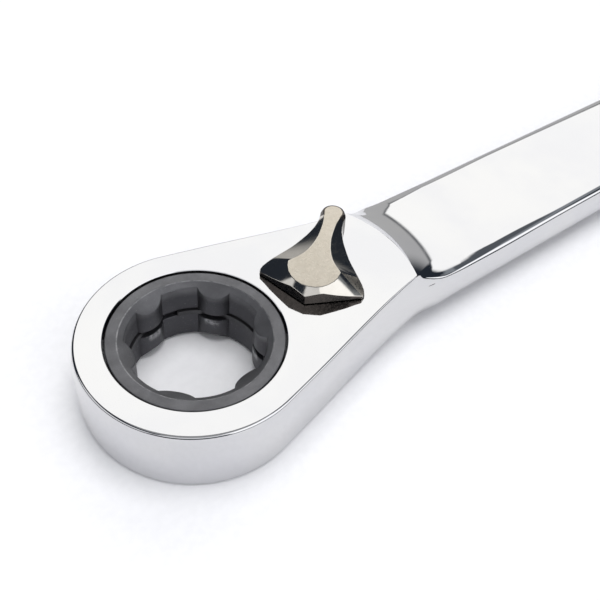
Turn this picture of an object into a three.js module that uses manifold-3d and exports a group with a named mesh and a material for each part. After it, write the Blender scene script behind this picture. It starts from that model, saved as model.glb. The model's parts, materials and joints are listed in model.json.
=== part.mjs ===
// A reversible ratcheting combination wrench of the 13 mm size, in millimetres.
// It lies flat: X runs from the ring end to the open end and Z is up, with the
// reversing lever on top. Every piece is drawn about the axis of the ring, and
// the whole is then moved so that the origin is at the middle of its base.

import * as THREE from 'three';
import { mergeVertices } from 'three/addons/utils/BufferGeometryUtils.js';
import { ConvexGeometry } from 'three/addons/geometries/ConvexGeometry.js';
import Module from 'manifold-3d';

const wasm = await Module();
wasm.setup();

// ---------------------------------------------------------------- dimensions

const hexSize = 13;
const overallLength = 178;
const past = 2; // how far a cutting tool runs past the face it cuts

// Ring head and neck
const headThickness = 8.7;
const headRadius = 13.1;
const headEdgeBevel = 0.5;
const neckAngle = THREE.MathUtils.degToRad(76.2); // where the neck leaves the ring's circle
const neckEndX = 29.25;
const neckStartPull = 9.0; // length of the neck curve's handle at the ring
const neckEndPull = 8.8; // and at the shank

// Shank, thinner than the head, with a flat panel on each side
const shankThickness = 5.4;
const shankHalfWidth = 8.0;
const shankShoulderHalfWidth = 7.7;
const panelHalfWidth = 7.0;
const shankShoulderDrop = 0.45; // depth of the shoulder below the panel
const shankWallDrop = 1.8; // and of the top of the upright wall
const shankStartX = 30;

// Cove between the head's face and the panel, round a vertical axis on the neck
const coveAxisX = 12.1;
const coveInnerRadius = 15.6;
const coveRun = 7.0;
const coveSteps = 4;
const coveSegments = 80;
const headSolidEndX = 34.5;

// Open end, turned away from the shank's line
const openEndRadius = 13.9;
const openEndThickness = 6.4;
const openEndBevel = 0.55;
const jawTurn = THREE.MathUtils.degToRad(15);
const jawGap = hexSize + 0.1;
const jawFloorDepth = 1.2; // where the jaw flats end, behind the open end's centre
const jawFloorSag = 2.0;
const openNeckX = 24; // the shank starts to widen this far before the open end's centre
const openBlend = THREE.MathUtils.degToRad(120); // where its curve meets the open end's circle
const openPull = 8.4; // length of the curve's handles
const openCoveRadius = 15.5;
const openCoveRun = 6.0;

// Pocket for the gear, open to the underside
const lipRadius = 9.75;
const pocketRadius = 10.6;
const pocketCeiling = 6.8;
const snapGrooveRadius = 11.2;
const snapGrooveBottom = 0.7;
const snapGrooveTop = 1.5;

// Gear
const toothCount = 72;
const toothTipRadius = 10.3;
const toothRootRadius = 9.85;
const toothBandBottom = 2.2;
const toothBandTop = 6.5;
const toothTipShare = 0.12; // half width of a tooth's tip as a share of the pitch
const toothRootShare = 0.34;
const collarRadius = 9.55;
const gearBottom = 0.2;
const gearTop = 8.5;
const lobeCount = 6;
const crestRadius = hexSize / 2 + 0.08;
const recessRadius = 7.6;
const recessAngle = THREE.MathUtils.degToRad(31.5);
const gearTurn = THREE.MathUtils.degToRad(12.54); // the middle of one recess at rest
const coneRadius = 8.29;
const coneSlope = 0.65; // depth for each millimetre inwards
const undersideChamfer = 0.2;
const stopGrooveRadius = 8.1;
const stopGrooveBottom = 3.75;
const stopGrooveTop = 4.6;

// Rings
const ringPlay = 0.1;
const snapRing = { inner: 9.75, outer: 11.05, gap: 22, start: 150 };
const stopRing = { inner: 7.38, outer: 7.95, gap: 26, start: 75 };

// Lever. Its cap is drawn in its own frame: x towards the tail, y to the wings.
const leverX = 16.05;
const leverTurn = THREE.MathUtils.degToRad(37.5);
const capClearance = 0.2;
const plateHigh = 2.5;
const plateLow = 2.0;
const plateSlopeX = 4; // the plate slopes from here down to as far beyond the axis
const tailTipX = 8.63;
const tailStations = 9;
const shoulderX = 0.6;
const tailTop = { tip: 1.27, waist: 0.72, waistX: 5.0, flare: 1.8 };
const tailRim = { tip: 1.5, waist: 1.42, waistX: 7.6, flare: 4.75 };
const tailBase = { tip: 1.66, waist: 1.62, waistX: 7.8, flare: 4.95 };
const tailRimHeight = 2.0;
const tailRimLevelX = 6.5; // the rim falls from here to the shoulder
const shoulderRimHeight = 1.1;
const discX = -0.95;
const discRadius = 3.0;
const wingTip = [-1.95, 6.0, 0.48];
const ridgePoints = [[-3.5, 3.3, 1.27], [-4.15, 1.88, 1.72]];
const noseRidge = [-4.92, 0, 1.32];
const noseX = -4.78;

// Lever post, its bores in the body, and the clip that holds it
const postRadius = 2.6;
const postFloor = 2.3;
const postInCap = 0.4;
const pinRadius = 1.8;
const pinBottom = 0.35;
const postBoreRadius = 2.8;
const pinBoreRadius = 2.0;
const counterboreRadius = 3.4;
const counterboreDepth = 1.1;
const clipGrooveRadius = 1.35;
const clip = { inner: 1.5, outer: 3.0, gap: 70, start: -35, bottom: 0.6, top: 0.95 };
const sealGrooveRadius = 2.08;
const sealZ = 7.9;
const sealWireRadius = 0.27;
const sealGrooveHalfHeight = 0.4;
const sealOffset = 0.02; // outwards from the middle of its gap

// Pawl and the chamber that it rocks in
const chamberFloor = 2.0;
const chamberHalfWidth = 5.6;
const chamberBackX = 13.7;
const chamberRoundRadius = 3.95;
const pawlX = 11.6;
const pawlRock = THREE.MathUtils.degToRad(-2.5);
const pawlBottom = 2.4;
const pawlTop = 6.4;
const pawlToothTipRadius = 10.6;
const pawlToothRootRadius = 11.0;
const pawlTeeth = 8;
const pawlHalfWidth = 4.75;
const pawlEndFrontX = 10.6;
const pawlEndBackX = 12.3;
const pawlRidgeRadius = 3.5; // from the lever's axis to the ridge between the pockets
const pawlPocketDepth = 0.3;
const pawlBackAngle = THREE.MathUtils.degToRad(52);

// Plunger and spring in the post's cross hole
const crossHoleRadius = 1.05;
const crossHoleEnd = 1.7; // how far the hole runs past the lever's axis
const plungerZ = 4.4;
const plungerRadius = 0.85;
const plungerTip = 3.35;
const plungerTail = 0.6;
const plungerNose = 0.765;
const springRadius = 0.62;
const springWireRadius = 0.13;
const springFrom = -1.4;
const springTo = -0.05;
const springTurns = 3.5;

// ----------------------------------------------------------------- materials

const chrome = new THREE.MeshStandardMaterial({ color: 0xdcdddd, roughness: 0.08, metalness: 1 });
const darkSteel = new THREE.MeshStandardMaterial({ color: 0x4b4c50, roughness: 0.5, metalness: 0.8 });
const blackSteel = new THREE.MeshStandardMaterial({ color: 0x2c2c2f, roughness: 0.45, metalness: 0.8 });
const satinNickel = new THREE.MeshStandardMaterial({ color: 0xbdb5a8, roughness: 0.3, metalness: 1 });
const springSteel = new THREE.MeshStandardMaterial({ color: 0x8b8c90, roughness: 0.35, metalness: 1 });
const rubber = new THREE.MeshStandardMaterial({ color: 0x1c1c1e, roughness: 0.8, metalness: 0 });

// ------------------------------------------------------------------- helpers

function solidOf(geometry) {
  const bare = geometry.clone();
  bare.deleteAttribute('normal');
  bare.deleteAttribute('uv');
  const merged = mergeVertices(bare, 1e-3);
  return new wasm.Manifold(new wasm.Mesh({
    numProp: 3,
    vertProperties: new Float32Array(merged.attributes.position.array),
    triVerts: new Uint32Array(merged.index.array),
  }));
}

function geometryOf(solid) {
  const mesh = solid.getMesh();
  const geometry = new THREE.BufferGeometry();
  geometry.setAttribute('position', new THREE.BufferAttribute(mesh.vertProperties, 3));
  geometry.setIndex(new THREE.BufferAttribute(mesh.triVerts, 1));
  return geometry;
}

function piece(name, geometry, material) {
  const mesh = new THREE.Mesh(geometry, material);
  mesh.name = name;
  return mesh;
}

function prism(shape, bottom, top, curveSegments = 12) {
  const geometry = new THREE.ExtrudeGeometry(shape, {
    depth: top - bottom,
    bevelEnabled: false,
    curveSegments,
  });
  geometry.translate(0, 0, bottom);
  return solidOf(geometry);
}

// A prism whose top and bottom edges are bevelled inwards from the outline
function bevelledPrism(shape, bottom, top, bevel, curveSegments) {
  const geometry = new THREE.ExtrudeGeometry(shape, {
    depth: top - bottom - 2 * bevel,
    bevelThickness: bevel,
    bevelSize: bevel,
    bevelOffset: -bevel,
    bevelSegments: 2,
    curveSegments,
  });
  geometry.translate(0, 0, bottom + bevel);
  return solidOf(geometry);
}

function disc(radius, bottom, top, x = 0, segments = 72) {
  const geometry = new THREE.CylinderGeometry(radius, radius, top - bottom, segments);
  geometry.rotateX(Math.PI / 2);
  geometry.translate(x, 0, (bottom + top) / 2);
  return solidOf(geometry);
}

function block(fromX, toX, halfWidth, bottom, top) {
  const geometry = new THREE.BoxGeometry(toX - fromX, 2 * halfWidth, top - bottom);
  geometry.translate((fromX + toX) / 2, 0, (bottom + top) / 2);
  return solidOf(geometry);
}

// A flat ring with a gap of the given width, which starts at the angle start
function splitRingShape({ inner, outer, gap, start }) {
  const from = THREE.MathUtils.degToRad(start + gap);
  const to = THREE.MathUtils.degToRad(start + 360);
  const shape = new THREE.Shape();
  shape.absarc(0, 0, outer, from, to, false);
  shape.absarc(0, 0, inner, to, from, true);
  shape.closePath();
  return shape;
}

function splitRing(ring, bottom, top, curveSegments) {
  return geometryOf(prism(splitRingShape(ring), bottom, top, curveSegments));
}

// --------------------------------------------------------------- wrench body

function headOutline() {
  const start = new THREE.Vector2(Math.cos(neckAngle), Math.sin(neckAngle)).multiplyScalar(headRadius);
  const handle = new THREE.Vector2(
    start.x + neckStartPull * Math.sin(neckAngle),
    start.y - neckStartPull * Math.cos(neckAngle),
  );
  const endHandleX = neckEndX - neckEndPull;
  const shape = new THREE.Shape();
  shape.moveTo(headSolidEndX, -shankHalfWidth);
  shape.lineTo(headSolidEndX, shankHalfWidth);
  shape.lineTo(neckEndX, shankHalfWidth);
  shape.bezierCurveTo(endHandleX, shankHalfWidth, handle.x, handle.y, start.x, start.y);
  shape.absarc(0, 0, headRadius, neckAngle, 2 * Math.PI - neckAngle, false);
  shape.bezierCurveTo(handle.x, -handle.y, endHandleX, -shankHalfWidth, neckEndX, -shankHalfWidth);
  shape.closePath();
  return shape;
}

// What is cut away above the panel: flat over the shank, and curving up to the
// face of an end that is thickness thick. It lies on the +X side of its axis.
function coveCutter(thickness, innerRadius, run) {
  const drop = (thickness - shankThickness) / 2;
  const panelZ = shankThickness / 2;
  const faceZ = thickness / 2;
  const sweep = 2 * Math.atan(drop / run);
  const radius = run / Math.sin(sweep);
  const farRadius = innerRadius + run + openEndRadius;
  const profile = [];
  for (let step = 0; step <= coveSteps; step += 1) {
    const angle = sweep * (1 - step / coveSteps);
    profile.push(new THREE.Vector2(
      innerRadius + run - radius * Math.sin(angle),
      panelZ + radius * (1 - Math.cos(angle)),
    ));
  }
  profile.push(new THREE.Vector2(farRadius, panelZ));
  profile.push(new THREE.Vector2(farRadius, faceZ + past));
  profile.push(new THREE.Vector2(innerRadius, faceZ + past));
  profile.push(profile[0].clone());
  const geometry = new THREE.LatheGeometry(profile, coveSegments);
  geometry.rotateX(Math.PI / 2);
  return solidOf(geometry).intersect(block(0, 2 * farRadius, 2 * farRadius, 0, faceZ + 2 * past));
}

// Cuts the cove on both faces of an end, whose middle plane is half the head up
function cutCoves(end, cutter, axisX) {
  const middleZ = headThickness / 2;
  return end
    .subtract(cutter.translate([axisX, 0, middleZ]))
    .subtract(cutter.mirror([0, 0, 1]).translate([axisX, 0, middleZ]));
}

function shank(fromX, toX) {
  const halfThickness = shankThickness / 2;
  const corners = [
    [panelHalfWidth, halfThickness],
    [shankShoulderHalfWidth, halfThickness - shankShoulderDrop],
    [shankHalfWidth, halfThickness - shankWallDrop],
  ];
  const upperRight = corners.map(([y, z]) => new THREE.Vector2(y, z));
  const lowerRight = corners.map(([y, z]) => new THREE.Vector2(y, -z)).reverse();
  const right = [...upperRight, ...lowerRight];
  const left = right.map((point) => new THREE.Vector2(-point.x, point.y)).reverse();
  const geometry = new THREE.ExtrudeGeometry(new THREE.Shape([...right, ...left]), {
    depth: toX - fromX,
    bevelEnabled: false,
  });
  // The section's plane becomes YZ and its depth runs along X
  geometry.rotateX(Math.PI / 2);
  geometry.rotateZ(Math.PI / 2);
  geometry.translate(fromX, 0, headThickness / 2);
  return solidOf(geometry);
}

function openEnd(centreX) {
  const bottom = (headThickness - openEndThickness) / 2;
  const tangentX = centreX + openEndRadius * Math.cos(openBlend);
  const tangentY = openEndRadius * Math.sin(openBlend);
  const neckX = centreX - openNeckX;
  const handleX = tangentX - openPull * Math.sin(openBlend);
  const handleY = tangentY + openPull * Math.cos(openBlend);
  const outline = new THREE.Shape();
  outline.moveTo(neckX, -panelHalfWidth);
  outline.bezierCurveTo(neckX + openPull, -panelHalfWidth, handleX, -handleY, tangentX, -tangentY);
  outline.absarc(centreX, 0, openEndRadius, -openBlend, openBlend, false);
  outline.bezierCurveTo(handleX, handleY, neckX + openPull, panelHalfWidth, neckX, panelHalfWidth);
  outline.closePath();
  const cutter = coveCutter(openEndThickness, openCoveRadius, openCoveRun).mirror([1, 0, 0]);
  const plate = cutCoves(
    bevelledPrism(outline, bottom, bottom + openEndThickness, openEndBevel, 20),
    cutter,
    centreX,
  );

  const gap = new THREE.Shape();
  gap.moveTo(2 * openEndRadius, -jawGap / 2);
  gap.lineTo(2 * openEndRadius, jawGap / 2);
  gap.lineTo(-jawFloorDepth, jawGap / 2);
  gap.quadraticCurveTo(-jawFloorDepth - 2 * jawFloorSag, 0, -jawFloorDepth, -jawGap / 2);
  gap.closePath();
  const geometry = new THREE.ExtrudeGeometry(gap, { depth: headThickness, bevelEnabled: false });
  geometry.rotateZ(jawTurn);
  geometry.translate(centreX, 0, 0);
  return plate.subtract(solidOf(geometry));
}

function wrenchBody() {
  const openEndX = overallLength - headRadius - openEndRadius * Math.cos(jawTurn);
  const head = cutCoves(
    bevelledPrism(headOutline(), 0, headThickness, headEdgeBevel, 24),
    coveCutter(headThickness, coveInnerRadius, coveRun),
    coveAxisX,
  );
  const chamberFrontX = toothRootRadius - past;
  const chamber = block(chamberFrontX, chamberBackX, chamberHalfWidth, chamberFloor, pocketCeiling);
  return head
    .add(shank(shankStartX, openEndX - openNeckX + past))
    .add(openEnd(openEndX))
    .subtract(disc(lipRadius, -past, headThickness + past))
    .subtract(disc(pocketRadius, -past, pocketCeiling))
    .subtract(disc(snapGrooveRadius, snapGrooveBottom, snapGrooveTop))
    .subtract(chamber)
    .subtract(disc(chamberRoundRadius, chamberFloor, pocketCeiling, leverX, 40))
    .subtract(disc(postBoreRadius, pocketCeiling - past, headThickness + past, leverX, 40))
    .subtract(disc(pinBoreRadius, -past, chamberFloor + past / 2, leverX, 32))
    .subtract(disc(counterboreRadius, -past, counterboreDepth, leverX, 40));
}

// ---------------------------------------------------------------------- gear

// Six recesses that hold a hexagon's corners, with convex lobes between them
function boreShape() {
  const pitch = (2 * Math.PI) / lobeCount;
  const lobeHalfAngle = (pitch - recessAngle) / 2;
  const lobeHalfChord = recessRadius * Math.sin(lobeHalfAngle);
  const lobeRise = recessRadius * Math.cos(lobeHalfAngle) - crestRadius;
  const lobeRadius = (lobeHalfChord ** 2 + lobeRise ** 2) / (2 * lobeRise);
  const lobeHalfSweep = Math.asin(lobeHalfChord / lobeRadius);
  const shape = new THREE.Shape();
  for (let lobe = 0; lobe < lobeCount; lobe += 1) {
    const recessMiddle = gearTurn + lobe * pitch;
    const lobeMiddle = recessMiddle + pitch / 2;
    const lobeAxis = crestRadius + lobeRadius;
    shape.absarc(0, 0, recessRadius, recessMiddle - recessAngle / 2, recessMiddle + recessAngle / 2, false);
    shape.absarc(
      lobeAxis * Math.cos(lobeMiddle),
      lobeAxis * Math.sin(lobeMiddle),
      lobeRadius,
      lobeMiddle + Math.PI + lobeHalfSweep,
      lobeMiddle + Math.PI - lobeHalfSweep,
      true,
    );
  }
  shape.closePath();
  return shape;
}

function toothedShape() {
  const pitch = (2 * Math.PI) / toothCount;
  const points = [];
  for (let tooth = 0; tooth < toothCount; tooth += 1) {
    const middle = tooth * pitch;
    const corners = [
      [toothRootRadius, -toothRootShare],
      [toothTipRadius, -toothTipShare],
      [toothTipRadius, toothTipShare],
      [toothRootRadius, toothRootShare],
    ];
    for (const [radius, share] of corners) {
      const angle = middle + share * pitch;
      points.push(new THREE.Vector2(radius * Math.cos(angle), radius * Math.sin(angle)));
    }
  }
  return new THREE.Shape(points);
}

function ratchetGear() {
  const coneDepth = coneRadius * coneSlope;
  const cone = new THREE.ConeGeometry(coneRadius + past / coneSlope, coneDepth + past, 72);
  cone.rotateX(-Math.PI / 2);
  cone.translate(0, 0, gearTop + past - (coneDepth + past) / 2);
  const underCone = new THREE.CylinderGeometry(
    recessRadius,
    recessRadius + undersideChamfer + past,
    undersideChamfer + past,
    72,
  );
  underCone.rotateX(Math.PI / 2);
  underCone.translate(0, 0, gearBottom + (undersideChamfer - past) / 2);
  return disc(collarRadius, gearBottom, gearTop)
    .add(prism(toothedShape(), toothBandBottom, toothBandTop))
    .subtract(prism(boreShape(), -past, headThickness + past, 5))
    .subtract(solidOf(cone))
    .subtract(solidOf(underCone))
    .subtract(disc(stopGrooveRadius, stopGrooveBottom, stopGrooveTop, 0, 72));
}

// --------------------------------------------------------------------- lever

function plateHeight(x) {
  const share = THREE.MathUtils.clamp((x + plateSlopeX) / (2 * plateSlopeX), 0, 1);
  return THREE.MathUtils.lerp(plateLow, plateHigh, share);
}

function tailHalfWidth(x, { tip, waist, waistX, flare }) {
  if (x > waistX) {
    return waist + (tip - waist) * ((x - waistX) / (tailTipX - waistX)) ** 2;
  }
  return waist + (flare - waist) * ((waistX - x) / (waistX - shoulderX)) ** 2;
}

// Points of the tail's section at x: its base, its rim and its top, on both sides
function tailSection(x) {
  const fall = THREE.MathUtils.clamp((x - shoulderX) / (tailRimLevelX - shoulderX), 0, 1);
  const levels = [
    [tailBase, 0],
    [tailRim, THREE.MathUtils.lerp(shoulderRimHeight, tailRimHeight, fall)],
    [tailTop, plateHeight(x)],
  ];
  const points = [];
  for (const [outline, height] of levels) {
    const halfWidth = tailHalfWidth(x, outline);
    points.push(new THREE.Vector3(x, -halfWidth, height));
    points.push(new THREE.Vector3(x, halfWidth, height));
  }
  return points;
}

// The tail is a row of hulls between sections, and its tip is the hull of three arcs
function tailSolid() {
  const tipPoints = [];
  const tipLevels = [[tailBase.tip, 0], [tailRim.tip, tailRimHeight], [tailTop.tip, plateHigh]];
  const tipSteps = 8;
  for (const [radius, height] of tipLevels) {
    for (let step = 0; step <= tipSteps; step += 1) {
      const angle = -Math.PI / 2 + (Math.PI * step) / tipSteps;
      tipPoints.push(new THREE.Vector3(
        tailTipX + radius * Math.cos(angle),
        radius * Math.sin(angle),
        height,
      ));
    }
  }
  let solid = solidOf(new ConvexGeometry(tipPoints));
  const length = (tailTipX - shoulderX) / tailStations;
  for (let station = 0; station < tailStations; station += 1) {
    const x = shoulderX + station * length;
    solid = solid.add(solidOf(new ConvexGeometry([...tailSection(x), ...tailSection(x + length)])));
  }
  return solid;
}

// The wide front of the cap: the plate's round front, the ridge below it and the wings
function frontHull() {
  const points = [...tailSection(shoulderX)];
  points.push(new THREE.Vector3(noseX, 0, 0));
  points.push(new THREE.Vector3(...noseRidge));
  for (const side of [-1, 1]) {
    points.push(new THREE.Vector3(wingTip[0], side * wingTip[1], 0));
    for (const [x, y, z] of [wingTip, ...ridgePoints]) {
      points.push(new THREE.Vector3(x, side * y, z));
    }
  }
  const discSteps = 12;
  for (let step = 0; step <= discSteps; step += 1) {
    const angle = Math.PI / 2 + (Math.PI * step) / discSteps;
    const x = discX + discRadius * Math.cos(angle);
    points.push(new THREE.Vector3(x, discRadius * Math.sin(angle), plateHeight(x)));
  }
  return solidOf(new ConvexGeometry(points));
}

// The lever about its own axis, with the cap's underside at the given height
function reversingLever() {
  const capBottom = headThickness + capClearance;
  const crossHoleLength = crossHoleEnd + postRadius + past;
  const crossHole = new THREE.CylinderGeometry(crossHoleRadius, crossHoleRadius, crossHoleLength, 24);
  crossHole.rotateZ(Math.PI / 2);
  crossHole.translate(crossHoleEnd - crossHoleLength / 2, 0, plungerZ);
  const cap = frontHull().add(tailSolid()).translate([0, 0, capBottom]);
  const grooveBottom = sealZ - sealGrooveHalfHeight;
  const grooveTop = sealZ + sealGrooveHalfHeight;
  const sealGroove = disc(postRadius + past, grooveBottom, grooveTop, 0, 32)
    .subtract(disc(sealGrooveRadius, sealZ - past, sealZ + past, 0, 32));
  const clipGroove = disc(pinRadius + past, clip.bottom - ringPlay, clip.top + ringPlay, 0, 32)
    .subtract(disc(clipGrooveRadius, -past, past, 0, 32));
  return cap
    .add(disc(postRadius, postFloor, capBottom + postInCap, 0, 40))
    .add(disc(pinRadius, pinBottom, postFloor + past, 0, 32))
    .subtract(sealGroove)
    .subtract(clipGroove)
    .subtract(solidOf(crossHole));
}

function sealRing() {
  const middle = (sealGrooveRadius + postBoreRadius) / 2 + sealOffset;
  const geometry = new THREE.TorusGeometry(middle, sealWireRadius, 6, 24);
  geometry.translate(0, 0, sealZ);
  return geometry;
}

// ------------------------------------------------------------ pawl mechanism

function pawlShape() {
  const pitch = (2 * Math.PI) / toothCount;
  const points = [];
  for (let tooth = 0; tooth <= pawlTeeth; tooth += 1) {
    const angle = (tooth - pawlTeeth / 2) * pitch;
    points.push(new THREE.Vector2(
      pawlToothTipRadius * Math.cos(angle),
      pawlToothTipRadius * Math.sin(angle),
    ));
    if (tooth < pawlTeeth) {
      const rootAngle = angle + pitch / 2;
      points.push(new THREE.Vector2(
        pawlToothRootRadius * Math.cos(rootAngle),
        pawlToothRootRadius * Math.sin(rootAngle),
      ));
    }
  }
  points.push(new THREE.Vector2(pawlEndFrontX, pawlHalfWidth));
  points.push(new THREE.Vector2(pawlEndBackX, pawlHalfWidth));
  const backSteps = 12;
  for (let step = 0; step <= backSteps; step += 1) {
    const angle = pawlBackAngle * (1 - (2 * step) / backSteps);
    const towardsPocket = Math.min(Math.abs(angle) / leverTurn, 1);
    const pocket = pawlPocketDepth * Math.sin(towardsPocket * (Math.PI / 2)) ** 2;
    const radius = pawlRidgeRadius + pocket;
    points.push(new THREE.Vector2(leverX - radius * Math.cos(angle), radius * Math.sin(angle)));
  }
  points.push(new THREE.Vector2(pawlEndBackX, -pawlHalfWidth));
  points.push(new THREE.Vector2(pawlEndFrontX, -pawlHalfWidth));
  return new THREE.Shape(points);
}

// The pawl about the axis that it rocks on
function pawl() {
  return prism(pawlShape(), pawlBottom, pawlTop).translate([-pawlX, 0, 0]);
}

// A round-nosed pin along -X, about the lever's axis
function plunger() {
  const profile = [new THREE.Vector2(0, plungerTail), new THREE.Vector2(plungerRadius, plungerTail)];
  const steps = 5;
  for (let step = 0; step <= steps; step += 1) {
    const angle = (Math.PI / 2) * (step / steps);
    profile.push(new THREE.Vector2(
      step === steps ? 0 : plungerRadius * Math.cos(angle),
      plungerTip - plungerNose + plungerNose * Math.sin(angle),
    ));
  }
  const geometry = new THREE.LatheGeometry(profile, 20);
  geometry.rotateZ(Math.PI / 2);
  geometry.translate(0, 0, plungerZ);
  return geometryOf(solidOf(geometry));
}

class Helix extends THREE.Curve {
  getPoint(t, target = new THREE.Vector3()) {
    const angle = 2 * Math.PI * springTurns * t;
    return target.set(
      -THREE.MathUtils.lerp(springFrom, springTo, t),
      springRadius * Math.cos(angle),
      plungerZ + springRadius * Math.sin(angle),
    );
  }
}

function plungerSpring() {
  const wire = new THREE.Shape();
  wire.absarc(0, 0, springWireRadius, 0, 2 * Math.PI, false);
  return new THREE.ExtrudeGeometry(wire, {
    extrudePath: new Helix(),
    steps: 42,
    curveSegments: 6,
    bevelEnabled: false,
  });
}

// ------------------------------------------------------------------ assembly

const wrench = new THREE.Group();
const body = piece('wrench_body', geometryOf(wrenchBody()), chrome);
wrench.add(body);
wrench.add(piece('ratchet_gear', geometryOf(ratchetGear()), darkSteel));
wrench.add(piece(
  'gear_snap_ring',
  splitRing(snapRing, snapGrooveBottom + ringPlay, snapGrooveTop - ringPlay, 28),
  blackSteel,
));
wrench.add(piece(
  'bore_stop_ring',
  splitRing(stopRing, stopGrooveBottom + ringPlay, stopGrooveTop - ringPlay, 28),
  blackSteel,
));

const lever = new THREE.Group();
lever.position.x = leverX;
lever.rotation.z = leverTurn;
lever.add(piece('reversing_lever', geometryOf(reversingLever()), satinNickel));
lever.add(piece('lever_seal_ring', sealRing(), rubber));
lever.add(piece('lever_clip', splitRing(clip, clip.bottom, clip.top, 16), springSteel));
lever.add(piece('pawl_plunger', plunger(), springSteel));
lever.add(piece('plunger_spring', plungerSpring(), springSteel));
wrench.add(lever);

const rocker = new THREE.Group();
rocker.position.x = pawlX;
rocker.rotation.z = pawlRock;
rocker.add(piece('pawl', geometryOf(pawl()), blackSteel));
wrench.add(rocker);

// The origin goes to the middle of the wrench's base
wrench.updateMatrixWorld(true);
const middle = new THREE.Box3().setFromObject(wrench).getCenter(new THREE.Vector3());
wrench.position.set(-middle.x, -middle.y, 0);

const part = new THREE.Group();
part.add(wrench);

export default part;
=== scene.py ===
import json
import math

import bmesh
import bpy
from mathutils import Matrix, Vector


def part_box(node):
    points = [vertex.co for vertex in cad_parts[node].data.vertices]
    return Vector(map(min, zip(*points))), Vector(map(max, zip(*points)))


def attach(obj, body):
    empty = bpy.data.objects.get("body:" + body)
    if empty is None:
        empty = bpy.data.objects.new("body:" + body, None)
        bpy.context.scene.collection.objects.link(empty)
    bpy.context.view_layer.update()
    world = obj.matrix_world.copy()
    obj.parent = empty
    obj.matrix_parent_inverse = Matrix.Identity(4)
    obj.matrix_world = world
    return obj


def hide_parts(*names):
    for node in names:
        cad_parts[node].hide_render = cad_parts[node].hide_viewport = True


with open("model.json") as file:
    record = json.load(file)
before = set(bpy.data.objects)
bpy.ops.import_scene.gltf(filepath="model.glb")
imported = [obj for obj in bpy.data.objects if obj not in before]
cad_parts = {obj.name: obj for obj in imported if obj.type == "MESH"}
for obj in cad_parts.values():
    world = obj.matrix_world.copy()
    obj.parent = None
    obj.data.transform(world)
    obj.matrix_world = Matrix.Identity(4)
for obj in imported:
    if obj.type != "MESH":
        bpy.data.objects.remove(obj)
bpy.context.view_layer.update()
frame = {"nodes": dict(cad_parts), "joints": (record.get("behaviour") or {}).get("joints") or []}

# The wrench is drawn in millimetres about the axis of its ring, with height
# measured up from the floor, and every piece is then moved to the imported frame.
MM = 0.001
AXES = {joint["name"]: Vector(joint["pos_m"]) for joint in frame["joints"] if "pos_m" in joint}
RING_X = AXES["gear_spin"].x / MM
LEVER_X = (AXES["lever_turn"].x - AXES["gear_spin"].x) / MM
BODY_LOW, BODY_HIGH = (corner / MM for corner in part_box("wrench_body"))
MIDDLE_Z = (BODY_LOW.z + BODY_HIGH.z) / 2
END_X = BODY_HIGH.x - RING_X

# ------------------------------------------------------------ wrench dimensions

HEAD_HALF = MIDDLE_Z
HEAD_RADIUS = 13.1
NECK_ANGLE = math.radians(76.2)
NECK_END_X = 29.25
NECK_PULLS = (9.0, 8.8)
SHANK_HALF = 2.7
SHANK_HALF_WIDTH = 7.95

# A cove is the hollow slope between an end's thick face and the thinner panel. Its
# edges are arcs about an axis, and its climb is a sum of (weight, power) terms.
COVE_AXIS_X = 12.1
COVE_INNER = 15.6
COVE_RUN = 7.0
COVE_CLIMB = ((0.55, 1.5), (0.45, 3.5))

OPEN_HALF = 3.2
OPEN_RADIUS = 13.9
JAW_TURN = math.radians(15)
OPEN_X = END_X - OPEN_RADIUS * math.cos(JAW_TURN)
OPEN_NECK = 24.0
OPEN_BLEND = math.radians(120)
OPEN_PULL = 8.4
OPEN_COVE_INNER = 15.5
OPEN_COVE_RUN = 6.0
JAW_HALF_GAP = 6.55
JAW_FLOOR_DEPTH = 1.2
JAW_FLOOR_SAG = 2.0
JAW_TIP_ROUND = 2.5
JAW_FLOOR_ROUND = 1.2
JAW_FLOOR_SPAN = (0.1, 0.9)

# Sections of the edge, from the middle of the wall up to the flat face. A row is
# how far in it lies and how high: the first rows as a share of the half
# thickness, the rest as a depth below the face. Both ends have the head's edge.
# Along the wrench it turns into the neck's broad bevel, then the cove's, the
# tapered edge just past the cove, and the shank's own.
WALL_ROWS = 4
HEAD_EDGE = [
    (0.0, 0.0), (0.03, 0.4), (0.09, 0.68), (0.17, 0.85), (0.20, 0.36), (0.215, 0.29), (0.23, 0.23),
    (0.29, 0.13), (0.33, 0.09), (0.37, 0.06), (0.45, 0.018), (0.51, 0.004), (0.56, 0.0),
]
NECK_EDGE = [
    (0.0, 0.0), (0.02, 0.12), (0.15, 0.30), (0.50, 0.50), (0.72, 1.60), (0.92, 1.10), (1.08, 0.70),
    (1.18, 0.45), (1.25, 0.30), (1.31, 0.17), (1.36, 0.08), (1.41, 0.025), (1.46, 0.0),
]
COVE_EDGE = [
    (0.0, 0.0), (0.04, 0.3), (0.12, 0.55), (0.24, 0.72), (0.30, 0.62), (0.34, 0.53), (0.39, 0.43),
    (0.45, 0.36), (0.60, 0.31), (1.40, 0.19), (2.10, 0.10), (2.60, 0.045), (3.20, 0.0),
]
TAPER_EDGE = [
    (0.0, 0.0), (0.04, 0.3), (0.12, 0.55), (0.24, 0.70), (0.32, 0.66), (0.37, 0.58), (0.44, 0.49),
    (0.55, 0.38), (0.68, 0.305), (0.92, 0.20), (1.20, 0.10), (1.50, 0.03), (1.90, 0.0),
]
SHANK_EDGE = [
    (0.0, 0.0), (0.04, 0.3), (0.12, 0.55), (0.24, 0.68), (0.30, 0.704), (0.36, 0.56), (0.45, 0.43),
    (0.58, 0.30), (0.74, 0.19), (0.92, 0.115), (1.15, 0.065), (1.45, 0.022), (1.90, 0.0),
]
NECK_EDGE_X = (8.0, 26.0)
TAPER_EDGE_X = (27.5, 40.0)
SHANK_EDGE_X = (42.0, 54.0)
EDGE_BLEND = 1.8

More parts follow.
